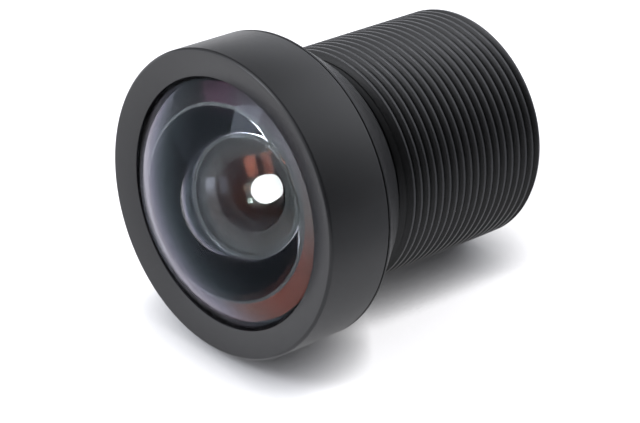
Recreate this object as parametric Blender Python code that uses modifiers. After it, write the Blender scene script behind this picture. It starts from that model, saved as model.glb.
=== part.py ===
# Wide-angle camera lens for a board camera, with an M12 x 0.5 mounting thread.
# It stands on its rear end: the origin is the centre of the rear end face, and +Z is the optical
# axis, towards the front glass. Lengths are in metres. Heights run up from the rear end, and the
# glass, spacers and seats are worked out in a chain from the front rim down.

import math

import bmesh
import bpy

MM = 0.001

# Facets round the axis are the same on every turned piece, so that the flats of mating pieces line up
SEGMENTS = 32
SHARP_ANGLE = math.radians(28)
MERGE_DISTANCE = 1e-7        # points this close are one
CUT_TOLERANCE = 1e-8         # a point this close to a cutting plane lies in it

# Clearances
RADIAL_FIT = 0.04 * MM       # a turned piece in its bore
AXIAL_FIT = 0.03 * MM        # a piece on its seat
CEMENT_LAYER = 0.02 * MM     # between the two halves of the cemented pair

# Head ring, which screws over the barrel's spigot and holds the front glass under its lip. With its
# wall round the front glass it is 15.4 mm across
HEAD_WALL = 0.76 * MM
HEAD_LENGTH = 3.82 * MM
HEAD_FRONT_BEVEL = 0.12 * MM
HEAD_REAR_BEVEL = 0.06 * MM
LIP_OVERLAP = 0.62 * MM      # how far the lip reaches in over the front glass
DISH_DEPTH = 0.28 * MM       # the front face falls this far from its rim to the opening
LIP_THICKNESS = 0.24 * MM

# Conical shoulder and neck behind the head
RIM_LAND = 0.08 * MM
SHOULDER_LENGTH = 2.09 * MM
SHOULDER_STEP = 0.71 * MM    # the shoulder stands this far out from the neck
NECK_LENGTH = 0.69 * MM
NECK_RELIEF = 0.45 * MM      # the neck lies this far under the thread's crests

# Mounting thread, M12 x 0.5
THREAD_RADIUS = 6.00 * MM
THREAD_LENGTH = 10.00 * MM
THREAD_PITCH = 0.50 * MM
DEPTH_SHARE = 0.62           # depth of the thread, as a share of the pitch
CREST_SHARE = 0.125          # flat on the crest, as a share of the pitch
REAR_CHAMFER = 0.30 * MM
THREAD_END_STEP = 0.07 * MM  # from the neck up to where the thread's front chamfer ends

# Front glass, a strong negative meniscus
LENS_1_FRONT_CURVE = 9.13 * MM
LENS_1_REAR_CURVE = 4.07 * MM
LENS_1_THICKNESS = 0.95 * MM
LENS_1_HOLLOW_ANGLE = math.radians(76.65)   # from the axis to the hollow's edge, about its centre
LENS_1_LEDGE = 0.11 * MM     # ground step from the dome down to the clamped edge

# Second glass, a meniscus with a flat flange
LENS_2_FRONT_CURVE = 10.90 * MM
LENS_2_REAR_CURVE = 2.72 * MM
LENS_2_THICKNESS = 1.90 * MM
LENS_2_HOLLOW_ANGLE = math.radians(69.60)
LENS_2_RIM = 5.00 * MM

# Third glass, biconvex
LENS_3_FRONT_CURVE = 7.45 * MM
LENS_3_REAR_CURVE = -5.32 * MM
LENS_3_EDGE = 0.38 * MM
LENS_3_RIM = 3.10 * MM

# Cemented pair behind the stop
LENS_4_FRONT_CURVE = 9.00 * MM
CEMENTED_CURVE = -4.30 * MM
LENS_4_EDGE = 0.48 * MM
LENS_5_REAR_CURVE = -14.00 * MM
LENS_5_THICKNESS = 0.60 * MM
PAIR_RIM = 3.20 * MM

# Last glass, biconvex
LENS_6_FRONT_CURVE = 7.50 * MM
LENS_6_REAR_CURVE = -14.00 * MM
LENS_6_EDGE = 0.65 * MM
LENS_6_RIM = 3.90 * MM

# Steps from the axis to the clear radius on each glass, front and rear. Steeper faces get more
LENS_1_STEPS = (6, 7)
LENS_2_STEPS = (4, 7)
LENS_3_STEPS = (4, 4)
LENS_4_STEPS = (4, 5)
LENS_5_STEPS = (5, 3)
LENS_6_STEPS = (4, 3)

# Spacers, whose heights set the air between the glasses
SPACER_1_HEIGHT = 0.26 * MM
SPACER_1_REACH = 0.08 * MM       # its bore lies this far inside the front glass's hollow
APERTURE_MARGIN = 0.18 * MM      # from its bore in to the second glass's polished face
SPACER_2_HEIGHT = 0.57 * MM
SPACER_2_STEP = 0.32 * MM        # height of its wide part
SPACER_2_FRONT_BORE = 2.75 * MM
SPACER_2_FOOT = 0.15 * MM        # width of the edge that rests on the third glass
SPACER_3_HEIGHT = 1.61 * MM
SPACER_3_EDGE = 0.25 * MM        # width of the edge that meets the third glass
SPACER_3_REAR_BORE = 1.60 * MM
SPACER_5_HEIGHT = 1.20 * MM
SPACER_5_REACH = 0.30 * MM       # its front bore lies this far inside the pair's rim
SPACER_5_FOOT = 0.50 * MM

# Stop and stray-light sheets. A sheet's hole lies this far inside the glass before it
SHEET_THICKNESS = 0.05 * MM
STOP_THICKNESS = 0.06 * MM
STOP_HOLE = 0.96 * MM
SHEET_5_REACH = 0.70 * MM
SHEET_6_REACH = 0.60 * MM

# Barrel's inner seats and web. The web carries the stop on its front and the pair on its rear
LENS_2_SEAT_WIDTH = 0.74 * MM
WEB_HOLE = 1.50 * MM
WEB_DEPTH = 0.74 * MM
PAIR_SEAT_WIDTH = 0.40 * MM

# Seal under the front glass, in a groove between the two walls of the barrel's spigot
SEAL_CORD = 0.26 * MM            # radius of its round section
SEAL_SEGMENTS = 8
GROOVE_SIDE_ROOM = 0.09 * MM
SPIGOT_INNER_WALL = 0.71 * MM
SPIGOT_OUTER_WALL = 0.45 * MM

# Rear end
REAR_BORE_STEP = 0.66 * MM       # from the last glass's bore out to the rear bore
REAR_BORE_CHAMFER = 0.15 * MM
RETAINER_NOSE = 0.20 * MM        # how far its nose reaches up into the glass bore
RETAINER_SEAT_DEPTH = 0.95 * MM  # from its front down to the filter's seat
RETAINER_SKIRT = 0.90 * MM       # height of its wall below that seat
RETAINER_WALL = 0.46 * MM
FILTER_LEDGE = 0.66 * MM
FILTER_THICKNESS = 0.30 * MM
FILTER_RING_WIDTH = 0.56 * MM
FILTER_RING_HEIGHT = 0.46 * MM
SPANNER_SLOT_WIDTH = 0.90 * MM
SPANNER_SLOT_DEPTH = 0.45 * MM

# Colours
ANODISED_BLACK = (0.055, 0.056, 0.060)
PLASTIC_BLACK = (0.020, 0.020, 0.022)
RUBBER_BLACK = (0.012, 0.012, 0.012)
VIOLET_TINT = (0.93, 0.92, 0.97)
GREEN_TINT = (0.92, 0.96, 0.95)
AMBER_TINT = (0.95, 0.93, 0.90)
PALE_TINT = (0.94, 0.95, 0.96)
FILTER_CYAN = (0.70, 0.86, 0.90)

# Heights of the outside, from the rear end up
SHOULDER_BOTTOM = THREAD_LENGTH + NECK_LENGTH
SHOULDER_TOP = SHOULDER_BOTTOM + SHOULDER_LENGTH
FRONT_RIM = SHOULDER_TOP + HEAD_LENGTH

# Radii of the front end, from the second glass out
LENS_2_BORE = LENS_2_RIM + RADIAL_FIT
GROOVE_INNER = LENS_2_BORE + SPIGOT_INNER_WALL
SEAL_RADIUS = GROOVE_INNER + GROOVE_SIDE_ROOM + SEAL_CORD
GROOVE_OUTER = SEAL_RADIUS + SEAL_CORD + GROOVE_SIDE_ROOM
SPIGOT_RADIUS = GROOVE_OUTER + SPIGOT_OUTER_WALL
HEAD_BORE = SPIGOT_RADIUS + RADIAL_FIT
HEAD_RADIUS = HEAD_BORE + HEAD_WALL
LENS_1_RIM = HEAD_BORE - RADIAL_FIT
OPENING_RADIUS = LENS_1_RIM - LIP_OVERLAP
LENS_1_DOME_RADIUS = OPENING_RADIUS - RADIAL_FIT
LENS_1_HOLLOW_RADIUS = LENS_1_REAR_CURVE * math.sin(LENS_1_HOLLOW_ANGLE)
SPACER_1_BORE = LENS_1_HOLLOW_RADIUS - SPACER_1_REACH
LENS_2_FRONT_APERTURE = SPACER_1_BORE - APERTURE_MARGIN
LENS_2_HOLLOW_RADIUS = LENS_2_REAR_CURVE * math.sin(LENS_2_HOLLOW_ANGLE)

# Radii of the inner pieces, each from what it holds or rests on
SHEET_2_HOLE = LENS_2_HOLLOW_RADIUS + RADIAL_FIT
SPACER_2_RIM = LENS_2_RIM - LENS_2_SEAT_WIDTH
SPACER_2_BORE = SPACER_2_RIM + RADIAL_FIT
SPACER_2_REAR_BORE = LENS_3_RIM - SPACER_2_FOOT
LENS_3_BORE = LENS_3_RIM + RADIAL_FIT
SPACER_3_FRONT_BORE = LENS_3_RIM - SPACER_3_EDGE
WEB_SEAT_BORE = PAIR_RIM - PAIR_SEAT_WIDTH
PAIR_BORE = PAIR_RIM + RADIAL_FIT
SHEET_5_HOLE = PAIR_RIM - SHEET_5_REACH
SPACER_5_FRONT_BORE = PAIR_RIM - SPACER_5_REACH
SPACER_5_REAR_BORE = LENS_6_RIM - SPACER_5_FOOT
LENS_6_BORE = LENS_6_RIM + RADIAL_FIT
SHEET_6_HOLE = LENS_6_RIM - SHEET_6_REACH
REAR_BORE = LENS_6_BORE + REAR_BORE_STEP
RETAINER_RIM = REAR_BORE - RADIAL_FIT
FILTER_BORE = RETAINER_RIM - RETAINER_WALL
FILTER_RADIUS = FILTER_BORE - RADIAL_FIT
RETAINER_BORE = FILTER_RADIUS - FILTER_LEDGE
FILTER_RING_BORE = FILTER_RADIUS - FILTER_RING_WIDTH

# Radii of the thread, neck and shoulder
THREAD_DEPTH = DEPTH_SHARE * THREAD_PITCH
NECK_RADIUS = THREAD_RADIUS - NECK_RELIEF
SHOULDER_SMALL_RADIUS = NECK_RADIUS + SHOULDER_STEP


def sag(curve, radius):
    # Depth of a spherical surface at this distance from the axis
    return abs(curve) - math.sqrt(curve * curve - radius * radius)


class Glass:
    # One lens element. A curve above zero has its centre behind the surface, towards the rear.
    # Outside its clear radius a surface has a flat ground land, lowered by a ledge if one is given.

    def __init__(self, apex, front_curve, thickness, rear_curve, rim, front_clear, rear_clear, ledge=0.0):
        self.apex = apex
        self.front_curve = front_curve
        self.rear_apex = apex - thickness
        self.rear_curve = rear_curve
        self.rim = rim
        self.front_clear = front_clear
        self.rear_clear = rear_clear
        self.front_land = self.front(front_clear) - ledge
        self.rear_land = self.rear(rear_clear)

    def front(self, radius):
        return self.apex - math.copysign(sag(self.front_curve, radius), self.front_curve)

    def rear(self, radius):
        return self.rear_apex - math.copysign(sag(self.rear_curve, radius), self.rear_curve)

    def outline(self, front_steps, rear_steps):
        # From the axis outward over the front, down the rim and back over the rear to the axis
        points = arc_points(self.front, self.front_curve, self.front_clear, front_steps)
        points.append((self.front_clear, self.front_land))
        points.append((self.rim, self.front_land))
        points.append((self.rim, self.rear_land))
        points.append((self.rear_clear, self.rear_land))
        points.extend(reversed(arc_points(self.rear, self.rear_curve, self.rear_clear, rear_steps)))
        return without_repeats(points)


def arc_points(surface, curve, clear, steps):
    widest = math.asin(clear / abs(curve))
    radii = [abs(curve) * math.sin(widest * i / steps) for i in range(steps)] + [clear]
    return [(radius, surface(radius)) for radius in radii]


def without_repeats(points):
    kept = [points[0]]
    for point in points[1:]:
        if math.dist(point, kept[-1]) > MERGE_DISTANCE:
            kept.append(point)
    return kept


# Heights of the glass, spacers and seats, from the front rim down. Each piece rests on the one
# before it, so its thickness or height sets where the next one goes

def edge_to_center(edge, front_curve, rear_curve, rim):
    # Thickness on the axis of a biconvex glass with this thickness at its rim
    return edge + sag(front_curve, rim) + sag(rear_curve, rim)


LIP_TOP = FRONT_RIM - DISH_DEPTH
LIP_BOTTOM = LIP_TOP - LIP_THICKNESS
LENS_1_APEX = LIP_BOTTOM - AXIAL_FIT + LENS_1_LEDGE + sag(LENS_1_FRONT_CURVE, LENS_1_DOME_RADIUS)
LENS_1 = Glass(LENS_1_APEX, LENS_1_FRONT_CURVE, LENS_1_THICKNESS, LENS_1_REAR_CURVE,
               LENS_1_RIM, LENS_1_DOME_RADIUS, LENS_1_HOLLOW_RADIUS, LENS_1_LEDGE)

SPIGOT_TOP = LENS_1.rear_land - AXIAL_FIT
GROOVE_BOTTOM = SPIGOT_TOP - 2 * SEAL_CORD - AXIAL_FIT
SPACER_1_BOTTOM = SPIGOT_TOP - SPACER_1_HEIGHT
LENS_2_APEX = SPACER_1_BOTTOM - AXIAL_FIT + sag(LENS_2_FRONT_CURVE, LENS_2_FRONT_APERTURE)
LENS_2 = Glass(LENS_2_APEX, LENS_2_FRONT_CURVE, LENS_2_THICKNESS, LENS_2_REAR_CURVE,
               LENS_2_RIM, LENS_2_FRONT_APERTURE, LENS_2_HOLLOW_RADIUS)

LENS_2_SEAT = LENS_2.rear_land - AXIAL_FIT
SHEET_2_TOP = LENS_2_SEAT
SPACER_2_TOP = SHEET_2_TOP - SHEET_THICKNESS - AXIAL_FIT
SPACER_2_SHELF = SPACER_2_TOP - SPACER_2_STEP
SPACER_2_BOTTOM = SPACER_2_TOP - SPACER_2_HEIGHT
LENS_3_APEX = SPACER_2_BOTTOM - AXIAL_FIT + sag(LENS_3_FRONT_CURVE, SPACER_2_REAR_BORE)
LENS_3_THICKNESS = edge_to_center(LENS_3_EDGE, LENS_3_FRONT_CURVE, LENS_3_REAR_CURVE, LENS_3_RIM)
LENS_3 = Glass(LENS_3_APEX, LENS_3_FRONT_CURVE, LENS_3_THICKNESS, LENS_3_REAR_CURVE,
               LENS_3_RIM, LENS_3_RIM, LENS_3_RIM)

SPACER_3_TOP = LENS_3.rear(SPACER_3_FRONT_BORE) - AXIAL_FIT
SPACER_3_BOTTOM = SPACER_3_TOP - SPACER_3_HEIGHT
STOP_TOP = SPACER_3_BOTTOM - AXIAL_FIT
WEB_TOP = STOP_TOP - STOP_THICKNESS - AXIAL_FIT
PAIR_SEAT = WEB_TOP - WEB_DEPTH
LENS_4_APEX = PAIR_SEAT - AXIAL_FIT + sag(LENS_4_FRONT_CURVE, WEB_SEAT_BORE)
LENS_4_THICKNESS = edge_to_center(LENS_4_EDGE, LENS_4_FRONT_CURVE, CEMENTED_CURVE, PAIR_RIM)
LENS_4 = Glass(LENS_4_APEX, LENS_4_FRONT_CURVE, LENS_4_THICKNESS, CEMENTED_CURVE,
               PAIR_RIM, PAIR_RIM, PAIR_RIM)
LENS_5 = Glass(LENS_4.rear_apex - CEMENT_LAYER, CEMENTED_CURVE, LENS_5_THICKNESS, LENS_5_REAR_CURVE,
               PAIR_RIM, PAIR_RIM, PAIR_RIM)

LENS_6_BORE_TOP = LENS_5.rear_land + AXIAL_FIT
SHEET_5_TOP = LENS_5.rear(SHEET_5_HOLE) - AXIAL_FIT
SPACER_5_TOP = SHEET_5_TOP - SHEET_THICKNESS - AXIAL_FIT
SPACER_5_BOTTOM = SPACER_5_TOP - SPACER_5_HEIGHT
LENS_6_APEX = SPACER_5_BOTTOM - AXIAL_FIT + sag(LENS_6_FRONT_CURVE, SPACER_5_REAR_BORE)
LENS_6_THICKNESS = edge_to_center(LENS_6_EDGE, LENS_6_FRONT_CURVE, LENS_6_REAR_CURVE, LENS_6_RIM)
LENS_6 = Glass(LENS_6_APEX, LENS_6_FRONT_CURVE, LENS_6_THICKNESS, LENS_6_REAR_CURVE,
               LENS_6_RIM, LENS_6_RIM, LENS_6_RIM)

SHEET_6_TOP = LENS_6.rear(SHEET_6_HOLE) - AXIAL_FIT
RETAINER_TOP = SHEET_6_TOP - SHEET_THICKNESS - AXIAL_FIT
RETAINER_SHELF = RETAINER_TOP - RETAINER_NOSE
REAR_BORE_TOP = RETAINER_SHELF + AXIAL_FIT
FILTER_SEAT = RETAINER_TOP - RETAINER_SEAT_DEPTH
RETAINER_BOTTOM = FILTER_SEAT - RETAINER_SKIRT
FILTER_TOP = FILTER_SEAT - AXIAL_FIT
FILTER_BOTTOM = FILTER_TOP - FILTER_THICKNESS


def clear_scene():
    for obj in list(bpy.data.objects):
        bpy.data.objects.remove(obj, do_unlink=True)


def new_collection(name):
    collection = bpy.data.collections.new(name)
    bpy.context.scene.collection.children.link(collection)
    return collection


def make_material(name, color, roughness, metallic=0.0, transmission=0.0):
    material = bpy.data.materials.new(name)
    material.use_nodes = True
    material.diffuse_color = (*color, 1.0)
    shader = material.node_tree.nodes["Principled BSDF"]
    shader.inputs["Base Color"].default_value = (*color, 1.0)
    shader.inputs["Roughness"].default_value = roughness
    shader.inputs["Metallic"].default_value = metallic
    shader.inputs["Transmission Weight"].default_value = transmission
    return material


def black_anodised(name):
    return make_material(name, ANODISED_BLACK, 0.42, metallic=0.35)


def black_plastic(name):
    return make_material(name, PLASTIC_BLACK, 0.60)


def coated_glass(name, color):
    return make_material(name, color, 0.02, transmission=1.0)


def finish(obj, material):
    # Smooth shading everywhere but at the turned edges
    obj.data.materials.append(material)
    obj.data.shade_smooth()
    obj.data.set_sharp_from_angle(angle=SHARP_ANGLE)


def link_mesh(name, mesh, material, collection):
    obj = bpy.data.objects.new(name, mesh)
    collection.objects.link(obj)
    finish(obj, material)
    return obj


def evaluated_mesh(obj):
    graph = bpy.context.evaluated_depsgraph_get()
    return bpy.data.meshes.new_from_object(obj.evaluated_get(graph), depsgraph=graph)


def profile_object(name, points, closed, collection):
    # The outline in the plane at +X, as a chain of edges
    last = len(points) if closed else len(points) - 1
    edges = [(i, (i + 1) % len(points)) for i in range(last)]
    mesh = bpy.data.meshes.new(name)
    mesh.from_pydata([(radius, 0.0, height) for radius, height in points], edges, [])
    obj = bpy.data.objects.new(name, mesh)
    collection.objects.link(obj)
    return obj


def turn(obj):
    screw = obj.modifiers.new("Turn", "SCREW")
    screw.axis = "Z"
    screw.angle = 2 * math.pi
    screw.steps = SEGMENTS
    screw.render_steps = SEGMENTS
    screw.use_merge_vertices = True
    screw.merge_threshold = MERGE_DISTANCE


def turned(name, points, material, collection, closed=True):
    # A closed outline makes a ring. An open one starts and ends on the axis
    profile = profile_object(name + "_profile", points, closed, collection)
    turn(profile)
    mesh = evaluated_mesh(profile)
    bpy.data.objects.remove(profile, do_unlink=True)
    mesh.name = name
    return link_mesh(name, mesh, material, collection)


def plain_ring(bore, rim, top, bottom):
    return [(bore, top), (rim, top), (rim, bottom), (bore, bottom)]


# The threaded barrel

def thread_tooth():
    # One pitch of the thread, from root to root. It starts a turn under the rear end, and half a
    # facet's rise lower, so that no point of the thread falls in the plane of either end
    facet_rise = THREAD_PITCH / SEGMENTS
    start = -THREAD_PITCH - facet_rise / 2
    root = THREAD_RADIUS - THREAD_DEPTH
    crest_start = (0.5 - CREST_SHARE / 2) * THREAD_PITCH
    crest_end = (0.5 + CREST_SHARE / 2) * THREAD_PITCH
    return [(root, start), (THREAD_RADIUS, start + crest_start),
            (THREAD_RADIUS, start + crest_end), (root, start + THREAD_PITCH)]


def add_polyline(mesh, points):
    vertices = [mesh.verts.new((radius, 0.0, height)) for radius, height in points]
    edges = [mesh.edges.new(pair) for pair in zip(vertices, vertices[1:])]
    return vertices + edges


def sweep_thread(mesh):
    # The tooth is spun up a helix. Each turn meets the next along its root
    turns = math.ceil(THREAD_LENGTH / THREAD_PITCH) + 2
    bmesh.ops.spin(mesh, geom=add_polyline(mesh, thread_tooth()), axis=(0.0, 0.0, 1.0),
                   cent=(0.0, 0.0, 0.0), dvec=(0.0, 0.0, THREAD_PITCH / SEGMENTS),
                   angle=2 * math.pi * turns, steps=SEGMENTS * turns)
    bmesh.ops.remove_doubles(mesh, verts=mesh.verts[:], dist=MERGE_DISTANCE)


def chamfer_thread(mesh):
    # Cones at both ends cut the crests down, at 45 degrees
    rear_radius = THREAD_RADIUS - REAR_CHAMFER
    neck_end_radius = NECK_RADIUS + THREAD_END_STEP
    for vertex in mesh.verts:
        radius = math.hypot(vertex.co.x, vertex.co.y)
        limit = min(rear_radius + vertex.co.z, neck_end_radius + THREAD_LENGTH - vertex.co.z)
        if radius > limit:
            vertex.co.x *= limit / radius
            vertex.co.y *= limit / radius


def trim(mesh, height, normal_z):
    everything = mesh.verts[:] + mesh.edges[:] + mesh.faces[:]
    bmesh.ops.bisect_plane(mesh, geom=everything, dist=CUT_TOLERANCE,
                           plane_co=(0.0, 0.0, height), plane_no=(0.0, 0.0, normal_z), clear_outer=True)


def barrel_outline():
    # From the thread's front end over the shoulder and spigot, then down through the bores
    return [
        (NECK_RADIUS, THREAD_LENGTH),
        (NECK_RADIUS, SHOULDER_BOTTOM),
        (SHOULDER_SMALL_RADIUS, SHOULDER_BOTTOM),
        (HEAD_RADIUS, SHOULDER_TOP - RIM_LAND),
        (HEAD_RADIUS, SHOULDER_TOP),
        (SPIGOT_RADIUS, SHOULDER_TOP),
        (SPIGOT_RADIUS, SPIGOT_TOP),
        (GROOVE_OUTER, SPIGOT_TOP),
        (GROOVE_OUTER, GROOVE_BOTTOM),
        (GROOVE_INNER, GROOVE_BOTTOM),
        (GROOVE_INNER, SPIGOT_TOP),
        (LENS_2_BORE, SPIGOT_TOP),
        (LENS_2_BORE, LENS_2_SEAT),
        (SPACER_2_BORE, LENS_2_SEAT),
        (SPACER_2_BORE, SPACER_2_SHELF - AXIAL_FIT),
        (LENS_3_BORE, SPACER_2_SHELF - AXIAL_FIT),
        (LENS_3_BORE, WEB_TOP),
        (WEB_HOLE, WEB_TOP),
        (WEB_SEAT_BORE, PAIR_SEAT),
        (PAIR_BORE, PAIR_SEAT),
        (PAIR_BORE, LENS_6_BORE_TOP),
        (LENS_6_BORE, LENS_6_BORE_TOP),
        (LENS_6_BORE, REAR_BORE_TOP),
        (REAR_BORE, REAR_BORE_TOP),
        (REAR_BORE, REAR_BORE_CHAMFER),
        (REAR_BORE + REAR_BORE_CHAMFER, 0.0),
    ]


def close_end(mesh, height):
    # Fills the flat ring between the thread's cut end and the turned part
    rim = [edge for edge in mesh.edges if edge.is_boundary
           and all(abs(vertex.co.z - height) < MERGE_DISTANCE for vertex in edge.verts)]
    bmesh.ops.triangle_fill(mesh, use_beauty=True, edges=rim)


def make_barrel(collection):
    mesh = bmesh.new()
    sweep_thread(mesh)
    chamfer_thread(mesh)
    trim(mesh, 0.0, -1.0)
    trim(mesh, THREAD_LENGTH, 1.0)
    body = bmesh.new()
    bmesh.ops.spin(body, geom=add_polyline(body, barrel_outline()), axis=(0.0, 0.0, 1.0),
                   cent=(0.0, 0.0, 0.0), angle=2 * math.pi, steps=SEGMENTS, use_merge=True)
    turned_part = bpy.data.meshes.new("barrel_turned_part")
    body.to_mesh(turned_part)
    body.free()
    mesh.from_mesh(turned_part)
    bpy.data.meshes.remove(turned_part)
    close_end(mesh, 0.0)
    close_end(mesh, THREAD_LENGTH)
    bmesh.ops.recalc_face_normals(mesh, faces=mesh.faces[:])
    result = bpy.data.meshes.new("barrel")
    mesh.to_mesh(result)
    mesh.free()
    return link_mesh("barrel", result, black_anodised("barrel_anodised"), collection)


# The front end

def make_head_ring(collection):
    bottom = SHOULDER_TOP + AXIAL_FIT
    points = [
        (HEAD_RADIUS - HEAD_FRONT_BEVEL, FRONT_RIM),
        (HEAD_RADIUS, FRONT_RIM - HEAD_FRONT_BEVEL),
        (HEAD_RADIUS, bottom + HEAD_REAR_BEVEL),
        (HEAD_RADIUS - HEAD_REAR_BEVEL, bottom),
        (HEAD_BORE, bottom),
        (HEAD_BORE, LIP_BOTTOM),
        (OPENING_RADIUS, LIP_BOTTOM),
        (OPENING_RADIUS, LIP_TOP),
    ]
    return turned("head_ring", points, black_anodised("head_anodised"), collection)


def make_lens(name, glass, steps, color, collection):
    points = glass.outline(*steps)
    return turned(name, points, coated_glass(name + "_glass", color), collection, closed=False)


def make_seal_ring(collection):
    middle = SPIGOT_TOP - SEAL_CORD
    points = []
    for i in range(SEAL_SEGMENTS):
        angle = -2 * math.pi * (i + 0.5) / SEAL_SEGMENTS
        points.append((SEAL_RADIUS + SEAL_CORD * math.cos(angle), middle + SEAL_CORD * math.sin(angle)))
    rubber = make_material("seal_rubber", RUBBER_BLACK, 0.75)
    return turned("seal_ring", points, rubber, collection)


# Spacers, stray-light sheets and the stop

def make_spacer_1(collection):
    points = plain_ring(SPACER_1_BORE, LENS_2_RIM, SPIGOT_TOP, SPACER_1_BOTTOM)
    return turned("spacer_1", points, black_anodised("spacer_1_anodised"), collection)


def make_spacer_2(collection):
    points = [
        (SPACER_2_FRONT_BORE, SPACER_2_TOP),
        (SPACER_2_RIM, SPACER_2_TOP),
        (SPACER_2_RIM, SPACER_2_SHELF),
        (LENS_3_RIM, SPACER_2_SHELF),
        (LENS_3_RIM, SPACER_2_BOTTOM),
        (SPACER_2_REAR_BORE, SPACER_2_BOTTOM),
    ]
    return turned("spacer_2", points, black_anodised("spacer_2_anodised"), collection)


def make_spacer_3(collection):
    points = [
        (SPACER_3_FRONT_BORE, SPACER_3_TOP),
        (LENS_3_RIM, SPACER_3_TOP),
        (LENS_3_RIM, SPACER_3_BOTTOM),
        (SPACER_3_REAR_BORE, SPACER_3_BOTTOM),
    ]
    return turned("spacer_3", points, black_anodised("spacer_3_anodised"), collection)


def make_spacer_5(collection):
    points = [
        (SPACER_5_FRONT_BORE, SPACER_5_TOP),
        (LENS_6_RIM, SPACER_5_TOP),
        (LENS_6_RIM, SPACER_5_BOTTOM),
        (SPACER_5_REAR_BORE, SPACER_5_BOTTOM),
    ]
    return turned("spacer_5", points, black_anodised("spacer_5_anodised"), collection)


def make_sheet(name, hole, rim, top, collection, thickness=SHEET_THICKNESS):
    points = plain_ring(hole, rim, top, top - thickness)
    return turned(name, points, black_plastic(name + "_film"), collection)


# The rear end

def spanner_slot_cutter(side, cutters):
    # A box across the retaining ring's rear wall, on one side of the axis
    bpy.ops.mesh.primitive_cube_add(size=1.0)
    cutter = bpy.context.active_object
    cutter.name = "spanner_slot_" + ("right" if side > 0 else "left")
    inner = RETAINER_BORE
    outer = REAR_BORE + REAR_BORE_CHAMFER
    cutter.scale = (outer - inner, SPANNER_SLOT_WIDTH, 2 * SPANNER_SLOT_DEPTH)
    cutter.location = (side * (inner + outer) / 2, 0.0, RETAINER_BOTTOM)
    for collection in list(cutter.users_collection):
        collection.objects.unlink(cutter)
    cutters.objects.link(cutter)
    cutter.hide_render = True
    cutter.display_type = "WIRE"
    return cutter


def make_rear_retaining_ring(collection, cutters):
    points = [
        (RETAINER_BORE, RETAINER_TOP),
        (LENS_6_RIM, RETAINER_TOP),
        (LENS_6_RIM, RETAINER_SHELF),
        (RETAINER_RIM, RETAINER_SHELF),
        (RETAINER_RIM, RETAINER_BOTTOM),
        (FILTER_BORE, RETAINER_BOTTOM),
        (FILTER_BORE, FILTER_SEAT),
        (RETAINER_BORE, FILTER_SEAT),
    ]
    ring = turned("rear_retaining_ring", points, black_anodised("retainer_anodised"), collection)
    for side in (1, -1):
        cut = ring.modifiers.new("Spanner slot", "BOOLEAN")
        cut.operation = "DIFFERENCE"
        cut.object = spanner_slot_cutter(side, cutters)
    return ring


def make_ir_filter(collection):
    points = plain_ring(0.0, FILTER_RADIUS, FILTER_TOP, FILTER_BOTTOM)
    glass = coated_glass("filter_glass", FILTER_CYAN)
    return turned("ir_filter", points, glass, collection, closed=False)


def make_filter_ring(collection):
    top = FILTER_BOTTOM - AXIAL_FIT
    points = plain_ring(FILTER_RING_BORE, FILTER_RADIUS, top, top - FILTER_RING_HEIGHT)
    return turned("filter_ring", points, black_plastic("filter_ring_plastic"), collection)


def main():
    clear_scene()
    parts = new_collection("board_camera_lens")
    cutters = new_collection("cutters")
    make_barrel(parts)
    make_head_ring(parts)
    make_lens("lens_1", LENS_1, LENS_1_STEPS, VIOLET_TINT, parts)
    make_seal_ring(parts)
    make_spacer_1(parts)
    make_lens("lens_2", LENS_2, LENS_2_STEPS, GREEN_TINT, parts)
    make_sheet("light_sheet_2", SHEET_2_HOLE, SPACER_2_RIM, SHEET_2_TOP, parts)
    make_spacer_2(parts)
    make_lens("lens_3", LENS_3, LENS_3_STEPS, AMBER_TINT, parts)
    make_spacer_3(parts)
    make_sheet("aperture_stop", STOP_HOLE, LENS_3_RIM, STOP_TOP, parts, STOP_THICKNESS)
    make_lens("lens_4", LENS_4, LENS_4_STEPS, PALE_TINT, parts)
    make_lens("lens_5", LENS_5, LENS_5_STEPS, AMBER_TINT, parts)
    make_sheet("light_sheet_5", SHEET_5_HOLE, LENS_6_RIM, SHEET_5_TOP, parts)
    make_spacer_5(parts)
    make_lens("lens_6", LENS_6, LENS_6_STEPS, GREEN_TINT, parts)
    make_sheet("light_sheet_6", SHEET_6_HOLE, LENS_6_RIM, SHEET_6_TOP, parts)
    make_rear_retaining_ring(parts, cutters)
    make_ir_filter(parts)
    make_filter_ring(parts)


main()
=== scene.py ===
# Looks of a wide-angle board camera lens: turned and black anodised metal round coated glass.
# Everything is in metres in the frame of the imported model, where Z is the optical axis and the
# front glass looks up. In the photograph the lens lies on its side on a white table.
import math

import bmesh
import bpy
from mathutils import Matrix, Vector


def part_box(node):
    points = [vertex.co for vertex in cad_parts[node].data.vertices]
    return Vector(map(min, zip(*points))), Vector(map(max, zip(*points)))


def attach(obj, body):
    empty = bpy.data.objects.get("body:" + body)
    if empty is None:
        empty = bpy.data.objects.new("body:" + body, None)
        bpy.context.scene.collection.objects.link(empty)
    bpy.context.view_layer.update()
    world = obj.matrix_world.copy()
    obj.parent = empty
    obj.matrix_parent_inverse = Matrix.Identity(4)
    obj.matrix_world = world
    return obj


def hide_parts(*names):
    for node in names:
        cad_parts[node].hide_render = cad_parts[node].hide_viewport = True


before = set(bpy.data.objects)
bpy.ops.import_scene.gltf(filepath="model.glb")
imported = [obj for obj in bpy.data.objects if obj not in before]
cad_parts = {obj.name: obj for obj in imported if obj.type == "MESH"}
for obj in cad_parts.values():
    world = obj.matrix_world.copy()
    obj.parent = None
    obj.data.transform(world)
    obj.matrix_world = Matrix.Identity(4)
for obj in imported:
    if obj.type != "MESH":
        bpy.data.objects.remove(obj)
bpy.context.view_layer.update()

mm = 0.001
fullTurn = 2 * math.pi
weldGap = 1e-8          # points closer than this are one
levelGap = 1e-7         # and points as close as this to a height lie on it


def addObject(name, data):
    added = bpy.data.objects.new(name, data)
    bpy.context.scene.collection.objects.link(added)
    return added


# Camera

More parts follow.
